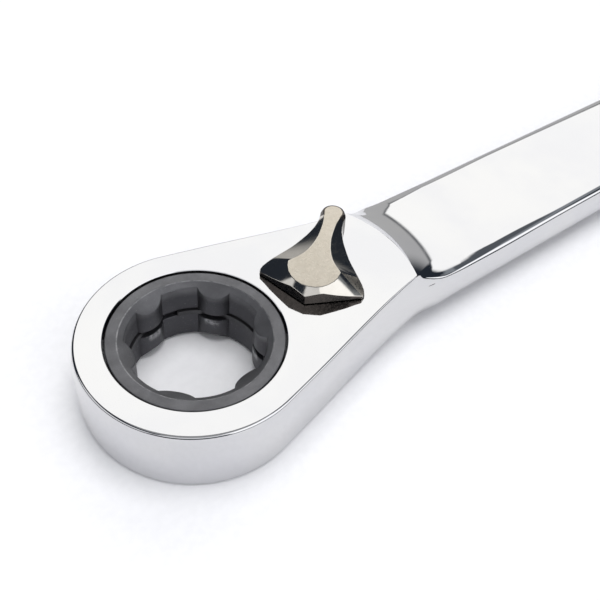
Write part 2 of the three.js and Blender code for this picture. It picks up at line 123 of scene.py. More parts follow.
# How finely each stretch is divided
COVE_SHARES = (
    0, 0.02, 0.06, 0.13, 0.21, 0.29, 0.37, 0.45, 0.53, 0.61, 0.69, 0.77, 0.85, 0.92, 0.96, 0.985, 1,
)
COVE_STEPS = 48
HEAD_STEPS = 84
NECK_STEPS = 44
SHANK_STEPS = 90
BLEND_STEPS = 12
OPEN_ARC_STEPS = 59
JAW_STEPS = 24
JAW_FLOOR_STEPS = 20
CORNER_STEPS = 8
HALVINGS = 30

# Travel along the side wall, as side_wall counts it: where it ends, between which
# places each cove's edge is looked for, and the step its direction is taken over
TRAVEL_END = 4.0
HEAD_COVE_TRAVEL = (1.5, 2.6)
OPEN_COVE_TRAVEL = (2.2, TRAVEL_END)
TRAVEL_STEP = 1e-3

# ----------------------------------------------------------------- mesh helpers


def lerp(a, b, share):
    return a + (b - a) * share


def share_between(value, low, high):
    return min(max((value - low) / (high - low), 0.0), 1.0)


def smooth(share):
    share = min(max(share, 0.0), 1.0)
    return share * share * (3 - 2 * share)


def polar(radius, angle, x=0.0, y=0.0):
    return Vector((x + radius * math.cos(angle), y + radius * math.sin(angle)))


def bezier(points, share):
    row = [Vector(point) for point in points]
    while len(row) > 1:
        row = [a.lerp(b, share) for a, b in zip(row, row[1:])]
    return row[0]


def ring_faces(bm, rows, closed=True):
    """Quads between consecutive rows of vertices, each row running all the way round if closed."""
    for low, high in zip(rows, rows[1:]):
        count = len(low)
        for i in range(count if closed else count - 1):
            j = (i + 1) % count
            bm.faces.new((low[i], low[j], high[j], high[i]))


def lathe(profile, segments, x=0.0):
    """A solid turned about a vertical axis: profile is rows of (radius, height), capped at both ends."""
    bm = bmesh.new()
    angles = [2 * math.pi * i / segments for i in range(segments)]
    rows = [[bm.verts.new((*polar(radius, angle, x), z)) for angle in angles] for radius, z in profile]
    ring_faces(bm, rows)
    bm.faces.new(rows[0])
    bm.faces.new(rows[-1])
    bmesh.ops.recalc_face_normals(bm, faces=bm.faces)
    return bm


def box_solid(low, high):
    bm = bmesh.new()
    bmesh.ops.create_cube(bm, size=1)
    for corner in bm.verts:
        for axis in range(3):
            corner.co[axis] = high[axis] if corner.co[axis] > 0 else low[axis]
    return bm


def link_object(name, data):
    obj = bpy.data.objects.new(name, data)
    bpy.context.scene.collection.objects.link(obj)
    return obj


def mesh_object(name, bm, materials=()):
    mesh = bpy.data.meshes.new(name)
    bm.to_mesh(mesh)
    bm.free()
    for material in materials:
        mesh.materials.append(material)
    return link_object(name, mesh)


def to_object(name, bm, materials=()):
    """Puts a mesh drawn in millimetres about the ring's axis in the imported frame."""
    bmesh.ops.translate(bm, verts=bm.verts, vec=(RING_X, 0, 0))
    bmesh.ops.scale(bm, verts=bm.verts, vec=(MM, MM, MM))
    return mesh_object(name, bm, materials)


def cut(target, bm):
    """Takes the solid bm out of the target's mesh."""
    cutter = to_object("cutter", bm)
    step = target.modifiers.new("cut", "BOOLEAN")
    step.operation = "DIFFERENCE"
    step.solver = "EXACT"
    step.object = cutter
    apply_modifiers(target)
    bpy.data.objects.remove(cutter)


def apply_modifiers(obj):
    bpy.context.view_layer.update()
    evaluated = obj.evaluated_get(bpy.context.evaluated_depsgraph_get())
    shaped = bpy.data.meshes.new_from_object(evaluated)
    old = obj.data
    obj.modifiers.clear()
    obj.data = shaped
    shaped.name = old.name
    bpy.data.meshes.remove(old)


def shade(obj, angle):
    """Smooth shading, broken at edges sharper than the angle in degrees, with large flat faces kept flat."""
    obj.data.shade_smooth()
    obj.data.set_sharp_from_angle(angle=math.radians(angle))
    step = obj.modifiers.new("flat_faces", "WEIGHTED_NORMAL")
    step.keep_sharp = True
    step.weight = 50


# ------------------------------------------------------------------ wrench body


def cove_height(distance, run, drop):
    """Height above the panel at a distance from the cove's far end, steeper towards the thick end."""
    share = share_between(distance, 0.0, run)
    return drop * sum(weight * share ** power for weight, power in COVE_CLIMB)


def half_height(point):
    """Half thickness of the wrench over a point of its plan."""
    x, y = point
    from_head = math.hypot(x - COVE_AXIS_X, y)
    if x < COVE_AXIS_X or from_head <= COVE_INNER:
        return HEAD_HALF
    from_open = math.hypot(x - OPEN_X, y)
    if x > OPEN_X or from_open <= OPEN_COVE_INNER:
        return OPEN_HALF
    head_rise = cove_height(COVE_INNER + COVE_RUN - from_head, COVE_RUN, HEAD_HALF - SHANK_HALF)
    open_rise = cove_height(
        OPEN_COVE_INNER + OPEN_COVE_RUN - from_open, OPEN_COVE_RUN, OPEN_HALF - SHANK_HALF
    )
    return SHANK_HALF + head_rise + open_rise


class Station:
    """A place on the wrench's outline: its point, the way in from it, and how far its edge is the middle's.

    A mix of 0 gives the edge of the ends and 1 the edge of the panel between the coves.
    """

    def __init__(self, point, inward, mix):
        self.point = Vector(point)
        self.inward = Vector(inward)
        self.mix = mix

    def mirrored(self):
        return Station((self.point.x, -self.point.y), (self.inward.x, -self.inward.y), self.mix)

    def rows(self):
        """Points of the upper half of the section here, as (x, y, height above the middle)."""
        x = self.point.x
        near_open_end = x > END_X / 2
        neck_share = 0.0 if near_open_end else share_between(x, *NECK_EDGE_X) ** 2
        taper_share = share_between(x, *TAPER_EDGE_X)
        shank_share = smooth(share_between(x, *SHANK_EDGE_X))
        points = []
        sections = zip(HEAD_EDGE, NECK_EDGE, COVE_EDGE, TAPER_EDGE, SHANK_EDGE)
        for index, (head, neck, cove, taper, shank) in enumerate(sections):
            ends = [lerp(head[k], neck[k], neck_share) for k in range(2)]
            middle = [lerp(lerp(cove[k], taper[k], taper_share), shank[k], shank_share) for k in range(2)]
            inset, depth = (lerp(ends[k], middle[k], self.mix) for k in range(2))
            place = self.point + self.inward * inset
            height = half_height(place)
            points.append((*place, height * depth if index < WALL_ROWS else height - depth))
        return points


def side_wall(travel):
    """The wall on the +Y side, from the ring's back to the open end.

    Travel runs to 1 round the ring, to 2 along the neck, to 3 along the shank and to 4 into the open end.
    """
    if travel <= 1:
        return polar(HEAD_RADIUS, lerp(math.pi, NECK_ANGLE, travel))
    if travel <= 2:
        start = polar(HEAD_RADIUS, NECK_ANGLE)
        along = Vector((math.sin(NECK_ANGLE), -math.cos(NECK_ANGLE)))
        handles = (
            start,
            start + along * NECK_PULLS[0],
            (NECK_END_X - NECK_PULLS[1], SHANK_HALF_WIDTH),
            (NECK_END_X, SHANK_HALF_WIDTH),
        )
        return bezier(handles, travel - 1)
    if travel <= 3:
        return Vector((lerp(NECK_END_X, OPEN_X - OPEN_NECK, travel - 2), SHANK_HALF_WIDTH))
    tangent = polar(OPEN_RADIUS, OPEN_BLEND, OPEN_X)
    handles = (
        (OPEN_X - OPEN_NECK, SHANK_HALF_WIDTH),
        (OPEN_X - OPEN_NECK + OPEN_PULL, SHANK_HALF_WIDTH),
        tangent - Vector((math.sin(OPEN_BLEND), -math.cos(OPEN_BLEND))) * OPEN_PULL,
        tangent,
    )
    return bezier(handles, travel - 3)


def side_station(travel, mix):
    before = side_wall(max(travel - TRAVEL_STEP, 0.0))
    after = side_wall(min(travel + TRAVEL_STEP, TRAVEL_END))
    along = (after - before).normalized()
    return Station(side_wall(travel), (along.y, -along.x), mix)


def travel_to_radius(low, high, mix, centre_x, radius):
    """The travel, between two others, where the face's edge lies at a radius from a cove's axis."""
    def distance(travel):
        x, y, _ = side_station(travel, mix).rows()[-1]
        return math.hypot(x - centre_x, y)

    rising = distance(high) > distance(low)
    for _ in range(HALVINGS):
        middle = (low + high) / 2
        if (distance(middle) < radius) == rising:
            low = middle
        else:
            high = middle
    return (low + high) / 2


def open_end_outline():
    """The open end's outline from its +Y blend round both jaws to its -Y blend."""
    points = []

    def turned(x, y):
        return polar(math.hypot(x, y), math.atan2(y, x) + JAW_TURN, OPEN_X)

    def outer_arc(start, end, first):
        for i in range(first, OPEN_ARC_STEPS + 1):
            points.append(polar(OPEN_RADIUS, lerp(start, end, i / OPEN_ARC_STEPS), OPEN_X))

    def corner(a, b, c):
        for i in range(CORNER_STEPS + 1):
            points.append(bezier((a, b, c), i / CORNER_STEPS))

    def jaw_line(a, b):
        for i in range(1, JAW_STEPS):
            points.append(a.lerp(b, i / JAW_STEPS))

    gap = JAW_HALF_GAP
    tip_x = math.sqrt(OPEN_RADIUS ** 2 - gap ** 2)
    tip_angle = math.asin(gap / OPEN_RADIUS) + JAW_TIP_ROUND / OPEN_RADIUS
    floor_x = -JAW_FLOOR_DEPTH
    handles = [(floor_x, gap), (floor_x - 2 * JAW_FLOOR_SAG, 0), (floor_x, -gap)]
    shares = [lerp(*JAW_FLOOR_SPAN, i / JAW_FLOOR_STEPS) for i in range(JAW_FLOOR_STEPS + 1)]
    floor = [turned(*bezier(handles, share)) for share in shares]

    outer_arc(OPEN_BLEND, JAW_TURN + tip_angle, 0)
    tip_in = turned(tip_x - JAW_TIP_ROUND, gap)
    corner(points.pop(), turned(tip_x, gap), tip_in)
    floor_start = turned(floor_x + JAW_FLOOR_ROUND, gap)
    jaw_line(tip_in, floor_start)
    corner(floor_start, turned(floor_x, gap), floor[0])
    points.extend(floor[1:-1])
    floor_end = turned(floor_x + JAW_FLOOR_ROUND, -gap)
    corner(floor[-1], turned(floor_x, -gap), floor_end)
    tip_in = turned(tip_x - JAW_TIP_ROUND, -gap)
    jaw_line(floor_end, tip_in)
    corner(tip_in, turned(tip_x, -gap), polar(OPEN_RADIUS, JAW_TURN - tip_angle, OPEN_X))
    outer_arc(JAW_TURN - tip_angle, -OPEN_BLEND, 1)
    return points


def cove_stations(low, high, centre_x, inner, run):
    """Travels along one side of a cove, from the end's face to the panel, and their stations."""
    travels = []
    stations = []
    for share in COVE_SHARES:
        mix = smooth(share * EDGE_BLEND)
        travels.append(travel_to_radius(low, high, mix, centre_x, inner + run * share))
        stations.append(side_station(travels[-1], mix))
    return travels, stations


def side_stations():
    """Stations along the +Y side, and the first and last index of each cove."""
    head_travels, head_cove = cove_stations(*HEAD_COVE_TRAVEL, COVE_AXIS_X, COVE_INNER, COVE_RUN)
    open_travels, open_cove = cove_stations(*OPEN_COVE_TRAVEL, OPEN_X, OPEN_COVE_INNER, OPEN_COVE_RUN)
    side = [side_station(i / HEAD_STEPS, 0.0) for i in range(HEAD_STEPS)]
    for i in range(NECK_STEPS):
        side.append(side_station(lerp(1, head_travels[0], i / NECK_STEPS), 0.0))
    head_marks = (len(side), len(side) + len(head_cove) - 1)
    side += head_cove
    for i in range(1, SHANK_STEPS):
        side.append(side_station(lerp(head_travels[-1], open_travels[-1], i / SHANK_STEPS), 1.0))
    open_marks = (len(side), len(side) + len(open_cove) - 1)
    side += open_cove[::-1]
    for i in range(1, BLEND_STEPS):
        side.append(side_station(lerp(open_travels[0], TRAVEL_END, i / BLEND_STEPS), 0.0))
    return side, head_marks, open_marks


def open_end_stations(last):
    """Stations round the open end, after the last one of the +Y side."""
    points = [last.point] + open_end_outline() + [last.mirrored().point]
    stations = []
    for before, point, after in zip(points, points[1:], points[2:]):
        along = (after - before).normalized()
        stations.append(Station(point, (along.y, -along.x), 0.0))
    return stations


def cover(bm, top, head_marks, open_marks, sign):
    """Closes one face of the wrench inside its edge: both ends, both coves and the panel.

    The edge's vertices run along the +Y side, round the open end and back; sign is 1 for the upper face.
    """
    def opposite(index):
        return (len(top) - index) % len(top)

    def arc(index, centre_x):
        """Vertices across the wrench on an arc about a cove's axis, from the +Y side to the -Y side."""
        first = top[index]
        start = math.atan2(first.co.y, first.co.x - centre_x)
        turn = -2 * start if centre_x < first.co.x else 2 * (math.pi - start)
        radius = math.hypot(first.co.x - centre_x, first.co.y)
        row = [first]
        for i in range(1, COVE_STEPS):
            place = polar(radius, start + turn * i / COVE_STEPS, centre_x)
            row.append(bm.verts.new((*place, MIDDLE_Z + sign * half_height(place))))
        return row + [top[opposite(index)]]

    head_first, head_last = head_marks
    open_first, open_last = open_marks
    head_arcs = [arc(index, COVE_AXIS_X) for index in range(head_first, head_last + 1)]
    open_arcs = [arc(index, OPEN_X) for index in range(open_first, open_last + 1)]
    ring_faces(bm, head_arcs, closed=False)
    ring_faces(bm, open_arcs, closed=False)
    bm.faces.new(top[:head_first] + head_arcs[0] + top[opposite(head_first) + 1:])
    panel = range(head_last, open_first + 1)
    bm.faces.new(
        [top[index] for index in panel]
        + open_arcs[0][1:-1]
        + [top[opposite(index)] for index in reversed(panel)]
        + head_arcs[-1][-2:0:-1]
    )
    bm.faces.new(top[open_last:opposite(open_last) + 1] + open_arcs[-1][-2:0:-1])


def wrench_mesh():
    side, head_marks, open_marks = side_stations()
    other_side = [station.mirrored() for station in side[:0:-1]]
    stations = side + open_end_stations(side[-1]) + other_side
    bm = bmesh.new()
    upper = [[bm.verts.new((x, y, MIDDLE_Z + z)) for x, y, z in station.rows()] for station in stations]
    lower = [
        [column[0]] + [bm.verts.new((v.co.x, v.co.y, 2 * MIDDLE_Z - v.co.z)) for v in column[1:]]
        for column in upper
    ]
    for columns, sign in ((upper, 1), (lower, -1)):
        ring_faces(bm, list(zip(*columns)))
        cover(bm, [column[-1] for column in columns], head_marks, open_marks, sign)
    bmesh.ops.recalc_face_normals(bm, faces=bm.faces)
    return bm


# The bores and pockets cut into the body. A groove is its radius, its bottom and
# its top; the counterbore is its radius and depth; the chamber is its two ends
# along the wrench and its half width.
LIP_RADIUS = 9.75
LIP_CHAMFER = 0.07
POCKET_RADIUS = 10.6
POCKET_CEILING = 6.8
SNAP_GROOVE = (11.2, 0.7, 1.5)
POST_BORE = 2.8
PIN_BORE = 2.0
COUNTERBORE = (3.4, 1.1)
CHAMBER_FLOOR = 2.0
CHAMBER = (7.85, 13.7, 5.6)
CHAMBER_ROUND = 3.95
CUTTER_OVERHANG = 1.0


def wrench_body(material):
    body = to_object("chrome_wrench_body", wrench_mesh(), [material])
    top = 2 * MIDDLE_Z
    past = CUTTER_OVERHANG
    groove, groove_low, groove_high = SNAP_GROOVE
    counterbore, counterbore_depth = COUNTERBORE
    chamber_start, chamber_end, chamber_half = CHAMBER
    cut(body, lathe([
        (POCKET_RADIUS + past + LIP_CHAMFER, -past),
        (POCKET_RADIUS, LIP_CHAMFER),
        (POCKET_RADIUS, groove_low),
        (groove, groove_low),
        (groove, groove_high),
        (POCKET_RADIUS, groove_high),
        (POCKET_RADIUS, POCKET_CEILING),
        (LIP_RADIUS, POCKET_CEILING),
        (LIP_RADIUS, top - LIP_CHAMFER),
        (LIP_RADIUS + LIP_CHAMFER + past, top + past),
    ], segments=192))
    cut(body, box_solid(
        (chamber_start, -chamber_half, CHAMBER_FLOOR),
        (chamber_end, chamber_half, POCKET_CEILING),
    ))
    cut(body, lathe([
        (counterbore, -past),
        (counterbore, counterbore_depth),
        (PIN_BORE, counterbore_depth),
        (PIN_BORE, CHAMBER_FLOOR),
        (CHAMBER_ROUND, CHAMBER_FLOOR),
        (CHAMBER_ROUND, POCKET_CEILING),
        (POST_BORE, POCKET_CEILING),
        (POST_BORE, top - LIP_CHAMFER),
        (POST_BORE + LIP_CHAMFER + past, top + past),
    ], segments=96, x=LEVER_X))
    shade(body, angle=28)
    return body


# ------------------------------------------------------------------------- gear

# A tooth's flat and flank are shares of its pitch, counted from its middle. The
# tooth band is its bottom and top, and the stop ring's groove is its radius,
# bottom and top. The cone is the sloping face from the collar down to the bore.
TOOTH_COUNT = 72
TOOTH_TIP = 10.3
TOOTH_ROOT = 9.85
TOOTH_FLAT = 0.12
TOOTH_FLANK = 0.22
TOOTH_BAND = (2.2, 6.5)
TOOTH_EASE = 0.12
COLLAR_RADIUS = 9.55
GEAR_BOTTOM = 0.2
GEAR_TOP = 8.5
LOBES = 6
CREST_RADIUS = 6.58
RECESS_RADIUS = 7.6
RECESS_ANGLE = math.radians(31.5)
GEAR_TURN = math.radians(12.54)
CONE_RADIUS = 8.29
CONE_SLOPE = 0.65
STOP_GROOVE = (8.1, 3.75, 4.6)
UNDER_CHAMFER = 0.2
EDGE_BREAK = 0.07
CONE_RIM_DROP = 0.0546
CONE_FOOT_DROP = 0.056
RIM_BREAK = 0.1
GEAR_STEPS = TOOTH_COUNT * 8
LOBE_PITCH = 2 * math.pi / LOBES
LOBE_EDGE_GAP = 0.004
LOBE_EDGE_HALF = 1e-4


def bore_radius(angle):
    """Radius of the gear's bore: a recess for each corner of a hexagon, and a convex lobe between them."""
    lobe_half = (LOBE_PITCH - RECESS_ANGLE) / 2
    offset = (angle - GEAR_TURN) % LOBE_PITCH
    from_lobe = abs(offset - LOBE_PITCH / 2)
    if from_lobe >= lobe_half:
        return RECESS_RADIUS
    half_chord = RECESS_RADIUS * math.sin(lobe_half)
    rise = RECESS_RADIUS * math.cos(lobe_half) - CREST_RADIUS
    lobe_radius = (half_chord ** 2 + rise ** 2) / (2 * rise)
    axis = CREST_RADIUS + lobe_radius
    across = axis * math.sin(from_lobe)
    return axis * math.cos(from_lobe) - math.sqrt(lobe_radius ** 2 - across ** 2)


def tooth_radius(angle):
    """Radius of the gear's outside: a flat tip on each tooth, and straight flanks down to the root."""
    from_tooth = abs((angle / (2 * math.pi) * TOOTH_COUNT + 0.5) % 1 - 0.5)
    return lerp(TOOTH_TIP, TOOTH_ROOT, share_between(from_tooth, TOOTH_FLAT, TOOTH_FLAT + TOOTH_FLANK))


def gear_angles():
    """Even steps round the gear, with a close pair of steps at each wall between a lobe and a recess."""
    angles = [2 * math.pi * i / GEAR_STEPS for i in range(GEAR_STEPS)]
    for lobe in range(LOBES):
        for sign in (-1, 1):
            edge = (GEAR_TURN + lobe * LOBE_PITCH + sign * RECESS_ANGLE / 2) % (2 * math.pi)
            angles = [angle for angle in angles if abs(angle - edge) > LOBE_EDGE_GAP]
            angles += [edge - LOBE_EDGE_HALF, edge + LOBE_EDGE_HALF]
    return sorted(angles)


def gear_mesh():
    groove, groove_low, groove_high = STOP_GROOVE
    tooth_low, tooth_high = TOOTH_BAND
    bm = bmesh.new()
    columns = []
    for angle in gear_angles():
        bore = bore_radius(angle)
        tooth = tooth_radius(angle)
        cone_z = GEAR_TOP - (CONE_RADIUS - bore) * CONE_SLOPE
        section = [
            (COLLAR_RADIUS, GEAR_TOP - RIM_BREAK),
            (COLLAR_RADIUS - RIM_BREAK / 3, GEAR_TOP - RIM_BREAK / 3),
            (COLLAR_RADIUS - RIM_BREAK, GEAR_TOP),
            (CONE_RADIUS + EDGE_BREAK, GEAR_TOP),
            (CONE_RADIUS - EDGE_BREAK, GEAR_TOP - CONE_RIM_DROP),
            (bore + EDGE_BREAK, cone_z + EDGE_BREAK * CONE_SLOPE),
            (bore, cone_z - CONE_FOOT_DROP),
            (bore, groove_high + EDGE_BREAK),
            (bore + EDGE_BREAK, groove_high),
            (groove, groove_high),
            (groove, groove_low),
            (bore + EDGE_BREAK, groove_low),
            (bore, groove_low - EDGE_BREAK),
            (bore, GEAR_BOTTOM + UNDER_CHAMFER + RECESS_RADIUS - bore),
            (RECESS_RADIUS + UNDER_CHAMFER, GEAR_BOTTOM),
            (COLLAR_RADIUS - RIM_BREAK, GEAR_BOTTOM),
            (COLLAR_RADIUS, GEAR_BOTTOM + RIM_BREAK),
            (COLLAR_RADIUS, tooth_low),
            (tooth - TOOTH_EASE, tooth_low),
            (tooth, tooth_low + TOOTH_EASE),
            (tooth, tooth_high - TOOTH_EASE),
            (tooth - TOOTH_EASE, tooth_high),
            (COLLAR_RADIUS, tooth_high),
        ]
        columns.append([bm.verts.new((*polar(radius, angle), z)) for radius, z in section])
    rows = list(zip(*columns))
    ring_faces(bm, rows + rows[:1])
    bmesh.ops.recalc_face_normals(bm, faces=bm.faces)
    return bm


def ratchet_gear(material):
    gear = to_object("ratchet_gear_ring", gear_mesh(), [material])
    shade(gear, angle=10)
    return gear


# ------------------------------------------------------------------------ lever

# The cap is drawn with its tail along +X and its sides mirrored in Y. Rows are
# (x, y) or (x, y, height above the cap's underside). The plate is the satin top
# face, the rim the crease below it and the base the foot of the cap. The wings
# stand out at both sides of the front, and the ridge joins their tips.
LEVER_TURN = math.radians(37.84)
CAP_BOTTOM = 8.8
PLATE_HIGH = 2.6
PLATE_LOW = 2.1
PLATE_SLOPE = (-4.0, 4.0)
TIP_X = 8.63
TIP_TOP_RADIUS = 1.32
TIP_BREAK = (0.24, 0.06)
TIP_BASE_RADIUS = 1.66
TIP_RIM_RADIUS = 1.55
TIP_STEPS = 6
PLATE_SIDE = [
    (7.75, 0.98), (6.83, 0.80), (6.1, 0.74), (5.36, 0.72), (4.65, 0.72), (4.0, 0.74), (3.29, 0.84),
    (2.38, 1.03), (1.41, 1.36), (0.7, 1.72), (0.1, 2.15), (-0.4, 2.6),
]
RIM_SIDE = [
    (7.9, 1.45, 2.05), (6.9, 1.50, 2.05), (6.0, 1.68, 1.96), (5.2, 1.97, 1.82), (4.5, 2.28, 1.70),
    (3.8, 2.65, 1.58), (3.1, 3.03, 1.48), (2.4, 3.42, 1.40), (1.7, 3.90, 1.32), (1.1, 4.35, 1.24),
    (0.6, 4.72, 1.16), (0.15, 5.05, 1.10),
]
BASE_SIDE = [
    (8.1, 1.66), (7.1, 1.80), (6.2, 2.08), (5.4, 2.38), (4.7, 2.68), (4.0, 3.03), (3.3, 3.37),
    (2.6, 3.75), (1.9, 4.18), (1.35, 4.58), (0.9, 4.92), (0.4, 5.25),
]
PLATE_CORNER = (-0.87, 3.0)
PLATE_FRONT = (-0.95, 3.0, 3.0)
WING_RIM = [(-0.45, 5.60, 0.80), (-1.05, 5.98, 0.62), (-1.5, 6.10, 0.54)]
WING_BASE = [(-0.25, 5.75), (-0.95, 6.10), (-1.5, 6.22)]
WING_TIP = (-1.95, 6.02, 0.48)
RIDGE = [
    (-2.4, 5.25, 0.68), (-2.85, 4.55, 0.90), (-3.5, 3.3, 1.27),
    (-4.15, 1.88, 1.72), (-4.55, 0.9, 1.52), (-4.92, 0.0, 1.32),
]
TIP_BASE = (-1.95, 6.0)
FRONT_BASE = [(-2.1, 5.5), (-2.55, 4.6), (-3.25, 3.2), (-3.95, 1.75), (-4.38, 0.85), (-4.78, 0.0)]
CAP_BEVEL = 0.07
CAP_BEVEL_ANGLE = 24
# The third cap material is the nickel painted darker: painted shade on the tail tip, the skirt under the
# front ridge and the underside, and a painted dark reflection along the tail tip's edge.
POLISHED, SATIN, SHADED = range(3)

POST_RADIUS = 2.6
POST_FLOOR = 2.3
POST_IN_CAP = 0.4
POST_EASE = 0.15
PIN_RADIUS = 1.8
PIN_BOTTOM = 0.35
SEAL_GROOVE = (2.08, 7.5, 8.3)
CLIP_GROOVE = (1.35, 0.5, 1.05)


def lever_cap_mesh():
    """The cap in its own frame: x towards the tail, z up from its underside."""
    bm = bmesh.new()
    corners_made = {}

    def face(*points, material=POLISHED):
        """A face that shares its corners with its neighbours, and drops corners that coincide."""
        corners = []
        for point in points:
            key = tuple(round(number, 5) for number in point)
            if key not in corners_made:
                corners_made[key] = bm.verts.new(point)
            if corners_made[key] not in corners:
                corners.append(corners_made[key])
        if len(corners) > 2:
            bm.faces.new(corners).material_index = material

    def on_plate(x, y):
        low_x, high_x = PLATE_SLOPE
        share = (x - low_x) / (high_x - low_x)
        return (x, y, lerp(PLATE_LOW, PLATE_HIGH, min(share, 1.0)))

    def tip_arc(radius):
        angles = [math.pi / 2 * i / TIP_STEPS for i in range(TIP_STEPS + 1)]
        return [(TIP_X + radius * math.cos(angle), radius * math.sin(angle)) for angle in angles]

    break_in, break_down = TIP_BREAK
    tail_end = TIP_STEPS + 1
    plate = [on_plate(x, y) for x, y in tip_arc(TIP_TOP_RADIUS - break_in) + PLATE_SIDE]
    tip_edge = [(x, y, PLATE_HIGH - break_down) for x, y in tip_arc(TIP_TOP_RADIUS)] + [plate[tail_end]]
    rim = [(x, y, RIM_SIDE[0][2]) for x, y in tip_arc(TIP_RIM_RADIUS)] + RIM_SIDE
    base = [(x, y, 0.0) for x, y in tip_arc(TIP_BASE_RADIUS) + BASE_SIDE]
    middle, reach, half_width = PLATE_FRONT
    corner_x, corner_y = PLATE_CORNER
    start = math.atan2(corner_y / half_width, (corner_x - middle) / reach)
    angles = [lerp(start, math.pi, i / len(RIDGE)) for i in range(len(RIDGE) + 1)]
    arc = [on_plate(middle + reach * math.cos(angle), half_width * math.sin(angle)) for angle in angles]
    ridge = [WING_TIP] + RIDGE
    front = [(x, y, 0.0) for x, y in [TIP_BASE] + FRONT_BASE]
    wing = WING_RIM + [WING_TIP]
    wing_base = [(x, y, 0.0) for x, y in WING_BASE + [TIP_BASE]]
    top = plate + arc
    floor = base + wing_base + front[1:]

    for sign in (1, -1):
        def side_face(*points, material=POLISHED):
            face(*((x, sign * y, z) for x, y, z in points), material=material)

        def strip(upper, lower, material=POLISHED):
            for a, b, c, d in zip(upper, upper[1:], lower[1:], lower):
                side_face(a, b, c, d, material=material)

        strip(plate[:tail_end + 1], tip_edge, SHADED)
        strip(tip_edge, rim[:tail_end + 1], SHADED)
        strip(plate[tail_end:], rim[tail_end:])
        strip(rim[:tail_end + 2], base[:tail_end + 2], SHADED)
        strip(rim[tail_end + 1:] + wing, base[tail_end + 1:] + wing_base)
        strip(arc, ridge)
        strip(ridge, front, SHADED)
        side_face(plate[-1], arc[0], rim[-1])
        for a, b in zip([rim[-1]] + wing, wing):
            side_face(arc[0], b, a, material=POLISHED if sign > 0 else SATIN)
    level = [point for point in top if point[0] >= PLATE_SLOPE[1]]
    sloped = [point for point in top if point[0] <= PLATE_SLOPE[1]]
    for loop, material in ((level, SATIN), (sloped, SATIN), (floor, SHADED)):
        face(*loop, *((x, -y, z) for x, y, z in reversed(loop)), material=material)
    bmesh.ops.recalc_face_normals(bm, faces=bm.faces)
    return bm


def post_mesh():
    """The post under the cap, with its seal and clip grooves."""
    seal, seal_low, seal_high = SEAL_GROOVE
    clip, clip_low, clip_high = CLIP_GROOVE
    return lathe([
        (PIN_RADIUS - POST_EASE, PIN_BOTTOM),
        (PIN_RADIUS, PIN_BOTTOM + POST_EASE / 2),
        (PIN_RADIUS, clip_low),
        (clip, clip_low),
        (clip, clip_high),
        (PIN_RADIUS, clip_high),
        (PIN_RADIUS, POST_FLOOR),
        (POST_RADIUS - POST_EASE, POST_FLOOR),
        (POST_RADIUS, POST_FLOOR + POST_EASE),
        (POST_RADIUS, seal_low),
        (seal, seal_low),
        (seal, seal_high),
        (POST_RADIUS, seal_high),
        (POST_RADIUS, CAP_BOTTOM + POST_IN_CAP),
    ], segments=64, x=LEVER_X)


def reversing_lever(satin, polished, dark):
    bm = lever_cap_mesh()
    bmesh.ops.translate(bm, verts=bm.verts, vec=(0, 0, CAP_BOTTOM))
    bmesh.ops.rotate(bm, verts=bm.verts, cent=(0, 0, 0), matrix=Matrix.Rotation(LEVER_TURN, 3, "Z"))
    bmesh.ops.translate(bm, verts=bm.verts, vec=(LEVER_X, 0, 0))
    # The third material is the cap's nickel painted darker, as painted shade and a painted dark reflection.
    cap = to_object("reversing_lever_cap", bm, [polished, satin, dark])
    edge = cap.modifiers.new("edges", "BEVEL")
    edge.width = CAP_BEVEL * MM
    edge.segments = 2
    edge.limit_method = "ANGLE"
    edge.angle_limit = math.radians(CAP_BEVEL_ANGLE)
    edge.use_clamp_overlap = True
    apply_modifiers(cap)
    shade(cap, angle=28)
    post = to_object("reversing_lever_post", post_mesh(), [polished])
    shade(post, angle=30)
    return cap, post


# -------------------------------------------------------------------- materials


class Graph:
    """Short ways to add nodes to a node tree. An input is a plain value or another node's output."""

    def __init__(self, tree):
        self.tree = tree

    def node(self, kind, **settings):
        node = self.tree.nodes.new(kind)
        for name, value in settings.items():
            setattr(node, name, value)
        return node

    def feed(self, socket, source):
        if isinstance(source, (int, float, tuple)):
            socket.default_value = source
        else:
            self.tree.links.new(source, socket)

    def calculate(self, operation, a, b=0.0):
        node = self.node("ShaderNodeMath", operation=operation)
        self.feed(node.inputs[0], a)
        self.feed(node.inputs[1], b)
        return node.outputs[0]

    def remap(self, source, from_low, from_high, to_low=0.0, to_high=1.0):
        """Carries a value smoothly from one range to another, and holds it outside."""
        node = self.node("ShaderNodeMapRange", interpolation_type="SMOOTHSTEP")
        self.feed(node.inputs["Value"], source)
        self.feed(node.inputs["From Min"], from_low)
        self.feed(node.inputs["From Max"], from_high)
        self.feed(node.inputs["To Min"], to_low)
        self.feed(node.inputs["To Max"], to_high)
        return node.outputs["Result"]


